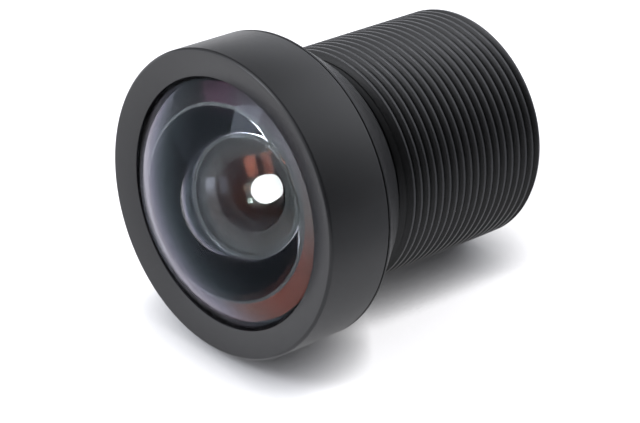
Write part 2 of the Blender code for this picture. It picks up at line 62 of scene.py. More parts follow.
photoView = {
    "width": 640,                    # of the photograph, in pixels
    "focalLength": 2468,             # in the same pixels
    "sensor": 36.0,
    "clip": (1 * mm, 10.0),
    "location": Vector((-12.873, -91.595, 88.577)) * mm,
    "forward": Vector((0.0907, 0.7598, -0.6439)),
    "up": Vector((0.9033, -0.3350, -0.2680)),
}


def photoAxes():
    # To the right, up and away from the camera
    forward = photoView["forward"].normalized()
    side = forward.cross(photoView["up"]).normalized()
    return side, side.cross(forward), forward


def fromPhoto(right, up, toward):
    # A direction given as seen in the photograph, as a unit vector of the model's frame
    side, top, forward = photoAxes()
    return (side * right + top * up - forward * toward).normalized()


def placeCamera():
    side, top, forward = photoAxes()
    camera = bpy.data.cameras.new("photoCamera")
    camera.sensor_width = photoView["sensor"]
    camera.lens = photoView["focalLength"] / photoView["width"] * photoView["sensor"]
    camera.clip_start, camera.clip_end = photoView["clip"]
    holder = addObject("photoCamera", camera)
    turn = Matrix((side, top, -forward)).transposed()
    holder.matrix_world = Matrix.Translation(photoView["location"]) @ turn.to_4x4()
    bpy.context.scene.camera = holder


# Node helpers

def newMaterial(name):
    material = bpy.data.materials.new(name)
    material.use_nodes = True
    return material, material.node_tree, material.node_tree.nodes["Principled BSDF"]


def emptyMaterial(name):
    material, tree, shader = newMaterial(name)
    tree.nodes.clear()
    return material, tree


def addNode(tree, kind, **settings):
    node = tree.nodes.new(kind)
    for key, value in settings.items():
        setattr(node, key, value)
    return node


def mathNode(tree, operation, first, second):
    node = addNode(tree, "ShaderNodeMath", operation=operation)
    for socket, value in zip(node.inputs, (first, second)):
        if isinstance(value, (int, float)):
            socket.default_value = value
        else:
            tree.links.new(value, socket)
    return node.outputs[0]


def objectPlace(tree):
    return addNode(tree, "ShaderNodeTexCoord").outputs["Object"]


def along(tree, vector, axis):
    # How far a place or a ray's direction goes along an axis
    facing = addNode(tree, "ShaderNodeVectorMath", operation="DOT_PRODUCT")
    tree.links.new(vector, facing.inputs[0])
    facing.inputs[1].default_value = axis
    return facing.outputs["Value"]


def axisDistance(tree):
    # Distance from the optical axis
    flat = addNode(tree, "ShaderNodeVectorMath", operation="MULTIPLY")
    tree.links.new(objectPlace(tree), flat.inputs[0])
    flat.inputs[1].default_value = (1.0, 1.0, 0.0)
    radius = addNode(tree, "ShaderNodeVectorMath", operation="LENGTH")
    tree.links.new(flat.outputs["Vector"], radius.inputs[0])
    return radius.outputs["Value"]


def toRange(tree, value, limits, low, high, curve="LINEAR"):
    # Takes a value between its limits to one between low and high
    change = addNode(tree, "ShaderNodeMapRange", interpolation_type=curve)
    for socket, number in zip(("From Min", "From Max", "To Min", "To Max"), (*limits, low, high)):
        change.inputs[socket].default_value = number
    tree.links.new(value, change.inputs["Value"])
    return change.outputs["Result"]


def colourRamp(tree, value, stops):
    # Each stop is a place on the ramp and its colour
    ramp = addNode(tree, "ShaderNodeValToRGB")
    elements = ramp.color_ramp.elements
    while len(elements) < len(stops):
        elements.new(0.5)
    for element, (position, colour) in zip(elements, stops):
        element.position = position
        element.color = (*colour, 1.0)
    tree.links.new(value, ramp.inputs["Fac"])
    return ramp.outputs["Color"]


def addShaders(tree, first, second):
    both = addNode(tree, "ShaderNodeAddShader")
    tree.links.new(first.outputs[0], both.inputs[0])
    tree.links.new(second.outputs[0], both.inputs[1])
    return both


def mixShaders(tree, share, first, second):
    both = addNode(tree, "ShaderNodeMixShader")
    tree.links.new(share, both.inputs["Fac"])
    tree.links.new(first.outputs[0], both.inputs[1])
    tree.links.new(second.outputs[0], both.inputs[2])
    return both


def toSurface(tree, shader):
    output = addNode(tree, "ShaderNodeOutputMaterial")
    tree.links.new(shader.outputs[0], output.inputs["Surface"])


def seenRays(tree, *kinds):
    # 1 where the camera looks without a matt surface in between, by rays of these kinds
    path = addNode(tree, "ShaderNodeLightPath")
    seen = path.outputs[kinds[0]]
    for kind in kinds[1:]:
        seen = mathNode(tree, "MAXIMUM", seen, path.outputs[kind])
    early = mathNode(tree, "LESS_THAN", path.outputs["Diffuse Depth"], 0.5)
    return mathNode(tree, "MULTIPLY", seen, early)


def seenStraight(tree):
    # 1 where the camera looks directly or through the glass without a reflection on the way
    path = addNode(tree, "ShaderNodeLightPath")
    straight = mathNode(tree, "LESS_THAN", path.outputs["Glossy Depth"], 0.5)
    return mathNode(tree, "MULTIPLY", seenRays(tree, "Is Camera Ray", "Is Transmission Ray"), straight)


# Table

table = {
    # The plane that touches the thread's rear end and the rear corner of the head
    "normal": Vector((0.6999, -0.7012, 0.1358)),
    "offset": -5.93 * mm,
    "size": 1.6,
    "colour": (0.80, 0.80, 0.81, 1.0),
    "glowColour": (0.995, 0.985, 1.0, 1.0),
    "glow": 0.82,                      # keeps the paper white in the picture
    # Reach and depth of the painted contact shadow, which darkens the glow near the lens
    "shadowReach": 2.55 * mm,
    "shadowDepth": 2.5,
    # Painted reflection and shade: the table's glow, as glossy and glassy rays see it, is painted
    # darker near the lens and fades out across the table to one side
    "mirrorGlow": (0.75, 0.39),        # in the gloss of the metal, far left and near the lens
    "mirrorStep": (-26 * mm, -10 * mm),
    "mirrorEdge": (4 * mm, 20 * mm),   # where that fades, on the photograph's right
}


def whitePaper():
    material, tree = emptyMaterial("whiteTable")
    paint = addNode(tree, "ShaderNodeBsdfDiffuse")
    paint.inputs["Color"].default_value = table["colour"]
    glow = addNode(tree, "ShaderNodeEmission")
    glow.inputs["Color"].default_value = table["glowColour"]
    # Painted shadow: the glow is darkened by ambient occlusion where the lens stands close, which
    # paints its contact shadow on the table
    near = addNode(tree, "ShaderNodeAmbientOcclusion", samples=8)
    near.inputs["Distance"].default_value = table["shadowReach"]
    paintedContactShadow = mathNode(tree, "POWER", near.outputs["AO"], table["shadowDepth"])
    seen = seenRays(tree, "Is Camera Ray")
    paper = mathNode(tree, "MULTIPLY", mathNode(tree, "MULTIPLY", seen, table["glow"]), paintedContactShadow)
    # The glow that glossy and glassy rays see is painted darker near the lens and fades out to one
    # side: a painted falloff of light in the reflections
    across = along(tree, objectPlace(tree), fromPhoto(1, 0, 0))
    paintedReflectionFade = mathNode(tree, "MULTIPLY",
                    toRange(tree, across, table["mirrorStep"], *table["mirrorGlow"], "SMOOTHSTEP"),
                    toRange(tree, across, table["mirrorEdge"], 1.0, 0.0, "SMOOTHSTEP"))
    paintedMirrorGlow = mathNode(tree, "MULTIPLY", seenRays(tree, "Is Glossy Ray", "Is Transmission Ray"), paintedReflectionFade)
    through = mathNode(tree, "SUBTRACT", seenStraight(tree), seen)
    strength = mathNode(tree, "MAXIMUM", mathNode(tree, "MAXIMUM", paper, paintedMirrorGlow), through)
    tree.links.new(strength, glow.inputs["Strength"])
    # Seen from below, the table isn't there, so that the views from behind show the lens
    clear = addNode(tree, "ShaderNodeBsdfTransparent")
    side = addNode(tree, "ShaderNodeNewGeometry")
    lit = addShaders(tree, paint, glow)
    toSurface(tree, mixShaders(tree, side.outputs["Backfacing"], lit, clear))
    return material


def makeTable():
    plane = bmesh.new()
    bmesh.ops.create_grid(plane, x_segments=1, y_segments=1, size=table["size"])
    normal = table["normal"].normalized()
    turn = normal.to_track_quat("Z", "Y").to_matrix().to_4x4()
    bmesh.ops.transform(plane, matrix=Matrix.Translation(normal * table["offset"]) @ turn,
                        verts=plane.verts)
    mesh = bpy.data.meshes.new("table")
    plane.to_mesh(mesh)
    plane.free()
    mesh.materials.append(whitePaper())
    top = addObject("table", mesh)


# Light

coolWhite = (0.945, 0.965, 1.02)

lamps = {
    # Direction from the lens as seen in the photograph, distance, size and strength
    "softboxAbove": {"toward": (0.68, 0.73, 0.0), "distance": 150 * mm, "size": 110 * mm,
                     "power": 0.014},
    "lampFront": {"toward": (-0.72, 0.38, 0.58), "distance": 170 * mm, "size": 50 * mm,
                  "power": 0.061},
}

# Wide panels of a light tent: direction as seen in the photograph, and strength in their middle
panels = (
    ((-0.95, 0.20, -0.10), 0.45),
    ((-0.90, -0.25, -0.25), 2.00),
    ((-0.72, 0.38, 0.58), 2.00),
    ((0.70, 0.70, 0.00), 0.68),
    ((0.10, 0.60, -0.80), 0.27),
    ((0.60, 0.30, -0.75), 2.90),
)
panelEdge = 5           # the higher, the narrower they are

# Windows that only the glasses inside mirror: direction, half width, half height and strength
windows = (
    ((-0.72, 0.33, 0.61), 0.15, 0.26, 22.0),
    ((-0.38, 0.38, 0.84), 0.11, 0.24, 18.0),
)
# The share of them that shows in the front glass's hollow, two surfaces down, and what is added
# in the second glass, four surfaces down
windowShares = ((1.5, 0.25), (3.5, 0.75))


def makeLamp(name, lamp):
    direction = fromPhoto(*lamp["toward"])
    light = bpy.data.lights.new(name, "AREA")
    light.shape = "SQUARE"
    light.size = lamp["size"]
    light.energy = lamp["power"]
    light.color = coolWhite
    addObject(name, light).matrix_world = (Matrix.Translation(direction * lamp["distance"])
                                           @ direction.to_track_quat("Z", "Y").to_matrix().to_4x4())


def panelLight(tree, ray):
    light = 0.0
    for toward, middle in panels:
        panel = mathNode(tree, "MAXIMUM", along(tree, ray, fromPhoto(*toward)), 0.0)
        panel = mathNode(tree, "MULTIPLY", mathNode(tree, "POWER", panel, panelEdge), middle)
        light = mathNode(tree, "ADD", light, panel)
    return light


def windowLight(tree, ray):
    path = addNode(tree, "ShaderNodeLightPath")
    inner = 0.0
    for surfaces, share in windowShares:
        passed = mathNode(tree, "GREATER_THAN", path.outputs["Transmission Depth"], surfaces)
        inner = mathNode(tree, "ADD", inner, mathNode(tree, "MULTIPLY", passed, share))
    mirroredOnce = mathNode(tree, "COMPARE", path.outputs["Glossy Depth"], 1.0)
    inner = mathNode(tree, "MULTIPLY", inner, seenRays(tree, "Is Transmission Ray"))
    inner = mathNode(tree, "MULTIPLY", inner, mirroredOnce)
    light = 0.0
    for toward, width, height, brightness in windows:
        middle = fromPhoto(*toward)
        side = middle.cross(fromPhoto(0, 1, 0)).normalized()
        pane = mathNode(tree, "GREATER_THAN", along(tree, ray, middle), 0.0)
        for axis, reach in ((side, width), (side.cross(middle), height)):
            aside = mathNode(tree, "ABSOLUTE", along(tree, ray, axis), 0.0)
            pane = mathNode(tree, "MULTIPLY", pane, mathNode(tree, "LESS_THAN", aside, reach))
        pane = mathNode(tree, "MULTIPLY", mathNode(tree, "MULTIPLY", pane, inner), brightness)
        light = mathNode(tree, "ADD", light, pane)
    return light


def makeRoom():
    world = bpy.data.worlds.new("room")
    bpy.context.scene.world = world
    world.use_nodes = True
    tree = world.node_tree
    tent = tree.nodes["Background"]
    tent.inputs["Color"].default_value = (*coolWhite, 1.0)
    ray = addNode(tree, "ShaderNodeTexCoord").outputs["Generated"]
    light = mathNode(tree, "ADD", panelLight(tree, ray), windowLight(tree, ray))
    tree.links.new(light, tent.inputs["Strength"])
    # The room behind the lens is plain white
    white = addNode(tree, "ShaderNodeBackground")
    white.inputs["Color"].default_value = (1.0, 1.0, 1.0, 1.0)
    tree.links.new(seenStraight(tree), white.inputs["Strength"])
    both = addShaders(tree, tent, white)
    tree.links.new(both.outputs[0], tree.nodes["World Output"].inputs["Surface"])


# Grain and bumps

noiseMiddle = (0.3, 0.7)      # most of a noise lies between these


def spread(tree, noise, low, high):
    return toRange(tree, noise, noiseMiddle, low, high)


def grainNoise(tree, size, detail=2.0):
    grain = addNode(tree, "ShaderNodeTexNoise")
    grain.inputs["Scale"].default_value = 1.0 / size
    grain.inputs["Detail"].default_value = detail
    tree.links.new(objectPlace(tree), grain.inputs["Vector"])
    return grain.outputs["Fac"]


def latheMarks(tree, spacing):
    # Fine rings round the axis, on the faces by their radius and on the sides by their height
    height = along(tree, objectPlace(tree), (0.0, 0.0, 1.0))
    rings = addNode(tree, "ShaderNodeTexNoise", noise_dimensions="1D")
    rings.inputs["Scale"].default_value = 1.0 / spacing
    rings.inputs["Detail"].default_value = 2.0
    tree.links.new(mathNode(tree, "ADD", axisDistance(tree), height), rings.inputs["W"])
    return rings.outputs["Fac"]


def addBump(tree, height, depth, under=None):
    bump = addNode(tree, "ShaderNodeBump")
    bump.inputs["Strength"].default_value = 1.0
    bump.inputs["Distance"].default_value = depth
    tree.links.new(height, bump.inputs["Height"])
    if under is not None:
        tree.links.new(under, bump.inputs["Normal"])
    return bump.outputs["Normal"]


# Metals

anodising = {
    "colour": (0.0135, 0.0135, 0.0148),
    "dye": (0.90, 1.10),       # the least and the most that the metal took
    "cloud": 1.4 * mm,         # size of the patches where that changes
    "roughness": 0.36,
    "unevenness": (0.95, 1.05),
    "grain": 0.035 * mm,       # size of the etched grain
    "grainDepth": 0.0012 * mm,
    "toolMark": 0.06 * mm,     # spacing of the lathe's marks
    "toolMarkDepth": 0.0003 * mm,
}

# What differs from the plain black: matt and darkened by painted shade in the thread, glossier as worn
# and lightened by a painted highlight on its crests, flat black inside
anodisedKinds = {
    "anodisedBlack": {},
    "anodisedThreadPaintedShade": {"shade": 0.30, "roughness": 0.50},
    "anodisedCrestPaintedHighlight": {"shade": 3.0, "roughness": 0.30},
    "anodisedInside": {"shade": 0.6, "roughness": 0.50, "grainDepth": 0.0003 * mm},
}

silver = {
    "colour": (0.62, 0.66, 0.70, 1.0),
    "roughness": (0.35, 0.41),
}


def anodisedMetal(name):
    finish = {"shade": 1.0, **anodising, **anodisedKinds[name]}
    material, tree, shader = newMaterial(name)
    cloud = grainNoise(tree, finish["cloud"], detail=3.0)
    tint = addNode(tree, "ShaderNodeMix", data_type="RGBA")
    for socket, dye in zip("AB", finish["dye"]):
        colour = [channel * finish["shade"] * dye for channel in finish["colour"]]
        tint.inputs[socket].default_value = (*colour, 1.0)
    tree.links.new(spread(tree, cloud, 0.0, 1.0), tint.inputs["Factor"])
    tree.links.new(tint.outputs["Result"], shader.inputs["Base Color"])
    marks = latheMarks(tree, finish["toolMark"])
    low, high = [finish["roughness"] * share for share in finish["unevenness"]]
    tree.links.new(spread(tree, marks, low, high), shader.inputs["Roughness"])
    grain = grainNoise(tree, finish["grain"])
    lathe = addBump(tree, marks, finish["toolMarkDepth"])
    tree.links.new(addBump(tree, grain, finish["grainDepth"], lathe), shader.inputs["Normal"])
    return material


def brightMetal():
    # The first spacer's turned metal, which gives the silver crescents in the glass
    material, tree, shader = newMaterial("turnedSpacer")
    shader.inputs["Base Color"].default_value = silver["colour"]
    shader.inputs["Metallic"].default_value = 1.0
    marks = latheMarks(tree, anodising["toolMark"])
    tree.links.new(spread(tree, marks, *silver["roughness"]), shader.inputs["Roughness"])
    tree.links.new(addBump(tree, marks, anodising["toolMarkDepth"]), shader.inputs["Normal"])
    return material


# Film, plastic and rubber

mattBlacks = {
    "sheetFilm": {"colour": (0.012, 0.012, 0.013, 1.0), "roughness": 0.62, "grain": 0.03 * mm},
    "ringPlastic": {"colour": (0.018, 0.018, 0.020, 1.0), "roughness": 0.55, "grain": 0.08 * mm},
    "sealRubber": {"colour": (0.010, 0.010, 0.010, 1.0), "roughness": 0.70, "grain": 0.05 * mm},
}
mattUnevenness = 0.08
mattDepth = 0.04        # of the grain, against its size


def mattBlack(name):
    finish = mattBlacks[name]
    material, tree, shader = newMaterial(name)
    shader.inputs["Base Color"].default_value = finish["colour"]
    grain = grainNoise(tree, finish["grain"], detail=3.0)
    low = finish["roughness"] - mattUnevenness
    high = finish["roughness"] + mattUnevenness
    tree.links.new(spread(tree, grain, low, high), shader.inputs["Roughness"])
    tree.links.new(addBump(tree, grain, finish["grain"] * mattDepth), shader.inputs["Normal"])
    return material


# Turned shapes

roundSteps = 192
arcSteps = 40                 # of a glass's surface, from the axis outwards
sharpAngle = math.radians(24)
edgeShare = 0.45              # the most of an edge that a rounded corner takes


def sag(curve, radius):
    return abs(curve) - math.sqrt(curve * curve - radius * radius)


def spinChain(mesh, points, steps, rise=0.0):
    corners = [mesh.verts.new((radius, 0.0, height)) for radius, height in points]
    chain = [mesh.edges.new(pair) for pair in zip(corners, corners[1:])]
    bmesh.ops.spin(mesh, geom=corners + chain, axis=(0, 0, 1), cent=(0, 0, 0), dvec=(0, 0, rise),
                   angle=fullTurn, steps=steps, use_merge=rise == 0.0)


def closeShape(mesh):
    bmesh.ops.remove_doubles(mesh, verts=mesh.verts, dist=weldGap)
    bmesh.ops.recalc_face_normals(mesh, faces=mesh.faces)


def finishPiece(name, mesh, materials, slot, *nodes):
    data = bpy.data.meshes.new(name)
    mesh.to_mesh(data)
    mesh.free()
    for material in materials:
        data.materials.append(material)
    data.shade_smooth()
    data.set_sharp_from_angle(angle=sharpAngle)
    piece = addObject(name, data)
    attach(piece, "root")
    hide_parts(*nodes)
    return piece


def rounded(points, radii, steps=3):
    # The closed outline with each corner that has a radius turned into an arc
    outline = []
    for i, point in enumerate(points):
        here = Vector(point)
        before = Vector(points[i - 1]) - here
        after = Vector(points[(i + 1) % len(points)]) - here
        radius = radii[i] if isinstance(radii, (list, tuple)) else radii
        radius = min(radius, before.length * edgeShare, after.length * edgeShare)
        if radius <= 0:
            outline.append(point)
            continue
        start = here + before.normalized() * radius
        end = here + after.normalized() * radius
        for step in range(steps + 1):
            t = step / steps
            spot = start * (1 - t) ** 2 + here * 2 * t * (1 - t) + end * t ** 2
            outline.append((spot.x, spot.y))
    return outline


def turnedRing(name, points, materials, slot, *nodes, radii=0.02 * mm, steps=roundSteps):
    outline = rounded(points, radii)
    mesh = bmesh.new()
    spinChain(mesh, outline + outline[:1], steps)
    closeShape(mesh)
    return finishPiece(name, mesh, materials, slot, *nodes)


# Barrel with its mounting thread

barrel = {
    "threadRadius": 6.00 * mm,
    "pitch": 0.50 * mm,
    "depth": 0.31 * mm,
    "crestFlat": 0.095 * mm,
    "rootFlat": 0.040 * mm,
    "rounding": (0.02 * mm, 0.018 * mm),   # of the tooth's edges, inwards and along the axis
    "threadTop": 10.00 * mm,
    "spareTeeth": 3,                       # turned too, and cut off at the ends
    "rearChamfer": 0.30 * mm,
    "runOut": 0.38 * mm,
    # The crest band is glossier as worn metal and also painted brighter as a painted highlight
    "wornAndHighlitBand": 0.035 * mm,                # depth of the bright crest
    "neckRadius": 5.55 * mm,
    "neckLength": 0.69 * mm,
    "neckCorner": 0.03 * mm,
    "shoulderRadius": 6.26 * mm,
    "shoulderCorner": (0.012 * mm, 0.028 * mm),
    "rimLand": 0.08 * mm,
    "landCorner": (0.012 * mm, 0.004 * mm),
    "rimGap": 0.03 * mm,                   # the fine joint line under the head ring
    "rimCorner": 0.02 * mm,
    "stepsPerTurn": 144,
}
threadCore = barrel["neckRadius"] * 0.9    # the thread lies outside this radius

# Radii and depths of the steps inside, from the front to the rear
bore = {
    "fit": 0.03 * mm,
    "spigot": 6.90 * mm,
    "sealGroove": (5.75 * mm, 6.45 * mm),
    "sealDepth": 0.55 * mm,
    "secondGlass": 5.04 * mm,
    "secondSpacer": 4.30 * mm,
    "thirdGlass": 3.14 * mm,
    "stopHole": (1.50 * mm, 2.80 * mm),    # in front and behind
    "stopWeb": 0.74 * mm,
    "pair": 3.24 * mm,
    "lastGlass": 3.94 * mm,
    "lastGlassRise": 0.21 * mm,            # of its step over the fifth sheet
    "noseReach": 0.17 * mm,                # of the retaining ring into the bore
    "rear": 4.60 * mm,
    "chamfer": 0.15 * mm,
}

insideFace, flankFace, crestFace = 1, 2, 3


def threadTooth():
    # One pitch from root to root, with a narrow flat on the crest and in the root
    pitch = barrel["pitch"]
    crest = barrel["threadRadius"]
    root = crest - barrel["depth"]
    crestHalf = barrel["crestFlat"] / 2
    rootHalf = barrel["rootFlat"] / 2
    inward, aside = barrel["rounding"]
    start = -1.5 * pitch
    middle = start + pitch / 2
    return [
        (root, start),
        (root, start + rootHalf),
        (root + inward, start + rootHalf + aside),
        (crest - inward, middle - crestHalf - aside),
        (crest, middle - crestHalf),
        (crest, middle + crestHalf),
        (crest - inward, middle + crestHalf + aside),
        (root + inward, start + pitch - rootHalf - aside),
        (root, start + pitch - rootHalf),
        (root, start + pitch),
    ]


def makeThread(mesh):
    # All the teeth are turned together once round while they rise by one pitch
    pitch = barrel["pitch"]
    tooth = threadTooth()
    profile = tooth[:1]
    for i in range(math.ceil(barrel["threadTop"] / pitch) + barrel["spareTeeth"]):
        profile += [(radius, height + i * pitch) for radius, height in tooth[1:]]
    perTurn = barrel["stepsPerTurn"]
    spinChain(mesh, profile, perTurn, rise=pitch / perTurn)
    bmesh.ops.remove_doubles(mesh, verts=mesh.verts, dist=weldGap)
    # The teeth end in a chamfer behind and run out in front
    rear = barrel["threadRadius"] - barrel["rearChamfer"]
    front = barrel["threadRadius"] - barrel["runOut"]
    for corner in mesh.verts:
        radius = math.hypot(corner.co.x, corner.co.y)
        limit = min(rear + corner.co.z, front + barrel["threadTop"] - corner.co.z)
        limit = max(limit, threadCore)
        if radius > limit:
            corner.co.x *= limit / radius
            corner.co.y *= limit / radius
    for height, side in ((0.0, -1.0), (barrel["threadTop"], 1.0)):
        bmesh.ops.bisect_plane(mesh, geom=mesh.verts[:] + mesh.edges[:] + mesh.faces[:], dist=weldGap,
                               plane_co=(0, 0, height), plane_no=(0, 0, side), clear_outer=True)


def closeRing(mesh, height):
    # Fills the flat ring between the thread's cut end and the turned part
    rim = [edge for edge in mesh.edges if edge.is_boundary
           and all(abs(corner.co.z - height) < levelGap for corner in edge.verts)]
    bmesh.ops.triangle_fill(mesh, use_beauty=True, edges=rim)


def boreHeights():
    # Heights of the steps inside, from the pieces that rest on them
    fit = bore["fit"]
    flange = innerRings["spacer_2"]["flange"][1]
    return {
        "spigotTop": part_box("barrel")[1].z,
        "secondGlass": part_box("lens_2")[0].z - fit,
        "secondSpacer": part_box("spacer_2")[1].z - flange - fit,
        "webTop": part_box("aperture_stop")[0].z - fit,
        "lastGlass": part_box("light_sheet_5")[1].z + bore["lastGlassRise"],
        "rear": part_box("rear_retaining_ring")[1].z - bore["noseReach"],
    }


def barrelOutline():
    # From the thread's front end round the head end and down through the bore to the rear
    step = boreHeights()
    headLow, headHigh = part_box("head_ring")
    headRadius = headHigh.x
    rim = headLow.z - barrel["rimGap"]
    neck = barrel["neckRadius"]
    soft = barrel["neckCorner"]
    top = barrel["threadTop"] + barrel["neckLength"]
    shoulder = barrel["shoulderRadius"]
    out, up = barrel["shoulderCorner"]
    landIn, landUp = barrel["landCorner"]
    landLow = rim - barrel["rimLand"]
    corner = barrel["rimCorner"]
    grooveIn, grooveOut = bore["sealGroove"]
    holeFront, holeRear = bore["stopHole"]
    spigotTop = step["spigotTop"]
    webRear = step["webTop"] - bore["stopWeb"]
    return [
        (neck, barrel["threadTop"]),
        (neck, top - soft),
        (neck + soft, top),
        (shoulder - soft, top),
        (shoulder + out, top + up),
        (headRadius - landIn, landLow - landIn),
        (headRadius, landLow + landUp),
        (headRadius, rim - corner),
        (headRadius - corner, rim),
        (bore["spigot"], rim),
        (bore["spigot"], spigotTop),
        (grooveOut, spigotTop),
        (grooveOut, spigotTop - bore["sealDepth"]),
        (grooveIn, spigotTop - bore["sealDepth"]),
        (grooveIn, spigotTop),
        (bore["secondGlass"], spigotTop),
        (bore["secondGlass"], step["secondGlass"]),
        (bore["secondSpacer"], step["secondGlass"]),
        (bore["secondSpacer"], step["secondSpacer"]),
        (bore["thirdGlass"], step["secondSpacer"]),
        (bore["thirdGlass"], step["webTop"]),
        (holeFront, step["webTop"]),
        (holeRear, webRear),
        (bore["pair"], webRear),
        (bore["pair"], step["lastGlass"]),
        (bore["lastGlass"], step["lastGlass"]),
        (bore["lastGlass"], step["rear"]),
        (bore["rear"], step["rear"]),
        (bore["rear"], bore["chamfer"]),
        (bore["rear"] + bore["chamfer"], 0.0),
    ]


def makeBarrel(metal, inside, flank, crest):
    mesh = bmesh.new()
    makeThread(mesh)
    body = bmesh.new()
    spinChain(body, barrelOutline(), barrel["stepsPerTurn"])
    turned = bpy.data.meshes.new("turnedPart")
    body.to_mesh(turned)
    body.free()
    mesh.from_mesh(turned)
    bpy.data.meshes.remove(turned)
    closeRing(mesh, 0.0)
    closeRing(mesh, barrel["threadTop"])
    closeShape(mesh)
    neckTop = barrel["threadTop"] + barrel["neckLength"]
    # Crest faces get the painted highlight, flank faces the painted shade
    crestLow = barrel["threadRadius"] - barrel["wornAndHighlitBand"]
    for face in mesh.faces:
        middle = face.calc_center_median()
        radius = math.hypot(middle.x, middle.y)
        if radius < bore["rear"] and middle.z > bore["chamfer"]:
            face.material_index = insideFace
        elif radius > crestLow and middle.z < barrel["threadTop"]:
            face.material_index = crestFace
        elif radius > threadCore and middle.z < neckTop:
            face.material_index = flankFace
    materials = [metal, inside, flank, crest]
    return finishPiece("threadedBarrel", mesh, materials, "black_anodised", "barrel")


# Head ring

headRing = {
    "bore": 6.94 * mm,
    "opening": 6.28 * mm,
    "dish": 0.28 * mm,
    "lip": 0.24 * mm,
    "frontBevel": 0.12 * mm,
    "rearBevel": 0.06 * mm,
    # Corners from the front bevel round the outside to the lip
    "corners": (0.05 * mm, 0.05 * mm, 0.03 * mm, 0.02 * mm, 0.02 * mm, 0.0, 0.01 * mm, 0.03 * mm),
}


def makeHeadRing(metal):
    low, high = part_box("head_ring")
    radius = high.x
    lipTop = high.z - headRing["dish"]
    points = [
        (radius - headRing["frontBevel"], high.z),
        (radius, high.z - headRing["frontBevel"]),
        (radius, low.z + headRing["rearBevel"]),
        (radius - headRing["rearBevel"], low.z),
        (headRing["bore"], low.z),
        (headRing["bore"], lipTop - headRing["lip"]),
        (headRing["opening"], lipTop - headRing["lip"]),
        (headRing["opening"], lipTop),
    ]
    return turnedRing("headRing", points, [metal], "black_anodised", "head_ring",
                      radii=headRing["corners"])


# Finishes of the glass

# Painted reflection and shade on the front glass's land, by the angle from half a turn before the X
# axis to half a turn after it: amber and violet coating reflections and a dark patch of painted shade
landPaintedReflection = (
    (0.00, (0.40, 0.115, 0.075)),
    (0.09, (0.35, 0.15, 0.120)),
    (0.17, (0.34, 0.31, 0.30)),
    (0.29, (0.37, 0.37, 0.41)),
    (0.38, (0.19, 0.17, 0.20)),
    (0.42, (0.18, 0.095, 0.15)),
    (0.45, (0.16, 0.085, 0.13)),
    (0.47, (0.022, 0.018, 0.020)),
    (0.54, (0.024, 0.020, 0.022)),
    (0.62, (0.15, 0.15, 0.18)),
    (0.75, (0.12, 0.13, 0.16)),
    (0.88, (0.18, 0.15, 0.18)),
    (0.94, (0.34, 0.14, 0.10)),
    (1.00, (0.40, 0.115, 0.075)),
)

# Painted shade of the second glass's frosted land by the radius in millimetres, pale near the rim and
# darker towards the hollow
landPaintedShade = (
    (2.60, (0.17, 0.19, 0.185)),
    (3.20, (0.34, 0.37, 0.365)),
    (3.80, (0.82, 0.86, 0.86)),
    (4.60, (0.66, 0.70, 0.68)),
)

# Coatings, from straight on to grazing: reflectance of bare glass, share that is left, colour
violetCoat = (
    (0.00, 0.14, (0.80, 0.80, 1.00)),
    (0.09, 0.15, (0.75, 0.85, 1.00)),
    (0.12, 0.30, (0.70, 0.88, 1.00)),
    (0.19, 0.82, (0.78, 0.80, 1.00)),
    (0.25, 0.95, (0.90, 0.87, 1.00)),
    (0.31, 1.00, (0.93, 0.90, 1.00)),
    (0.35, 0.36, (0.95, 0.93, 1.00)),
    (0.50, 0.22, (1.00, 1.00, 1.00)),
    (1.00, 0.12, (1.00, 1.00, 1.00)),
)
greenCoat = (
    (0.00, 0.35, (0.60, 1.00, 0.85)),
    (0.06, 0.35, (0.60, 1.00, 0.85)),
    (0.12, 0.55, (0.90, 0.80, 0.75)),
    (0.30, 0.80, (1.00, 0.95, 0.95)),
    (1.00, 1.00, (1.00, 1.00, 1.00)),
)
amberCoat = (
    (0.00, 0.21, (1.00, 0.32, 0.16)),
    (0.10, 0.17, (1.00, 0.45, 0.30)),
    (0.30, 0.80, (1.00, 0.80, 0.75)),
    (1.00, 1.00, (1.00, 1.00, 1.00)),
)

groundGlass = {
    "grain": 0.03 * mm,
    "bevel": (0.36, 0.39, 0.40, 1.0),
    "bevelRoughness": (0.50, 0.80),
    "inkRoughness": (0.52, 0.68),
    "hueRoughness": (0.48, 0.62),
}


def coatedGlass(name, ior, tint, coat):
    # Polished glass whose antireflection coating weakens and colours what it mirrors
    material, tree = emptyMaterial(name)
    bare = addNode(tree, "ShaderNodeFresnel")
    bare.inputs["IOR"].default_value = ior
    reflectance = bare.outputs[0]
    through = addNode(tree, "ShaderNodeBsdfRefraction")
    through.inputs["Color"].default_value = (*tint, 1.0)
    through.inputs["Roughness"].default_value = 0.0
    through.inputs["IOR"].default_value = ior
    mirror = addNode(tree, "ShaderNodeBsdfGlossy")
    mirror.inputs["Roughness"].default_value = 0.0
    left = colourRamp(tree, reflectance, [(place, (share, share, share)) for place, share, hue in coat])
    hues = colourRamp(tree, reflectance, [(place, hue) for place, share, hue in coat])
    tree.links.new(hues, mirror.inputs["Color"])
    toSurface(tree, mixShaders(tree, mathNode(tree, "MULTIPLY", reflectance, left), through, mirror))
    return material


def groundGrain(tree, shader, roughness):
    # The fine scratches of grinding spread the gloss
    grain = grainNoise(tree, groundGlass["grain"])
    tree.links.new(spread(tree, grain, *roughness), shader.inputs["Roughness"])


def edgeInk(name, colour):
    # The paint on the ground edges of the glass
    material, tree, shader = newMaterial(name)
    shader.inputs["Base Color"].default_value = (*colour, 1.0)
    groundGrain(tree, shader, groundGlass["inkRoughness"])
    return material


def groundBevel():
    # The fine ground bevel round a polished hollow
    material, tree, shader = newMaterial("groundEdge")
    shader.inputs["Base Color"].default_value = groundGlass["bevel"]
    groundGrain(tree, shader, groundGlass["bevelRoughness"])
    return material


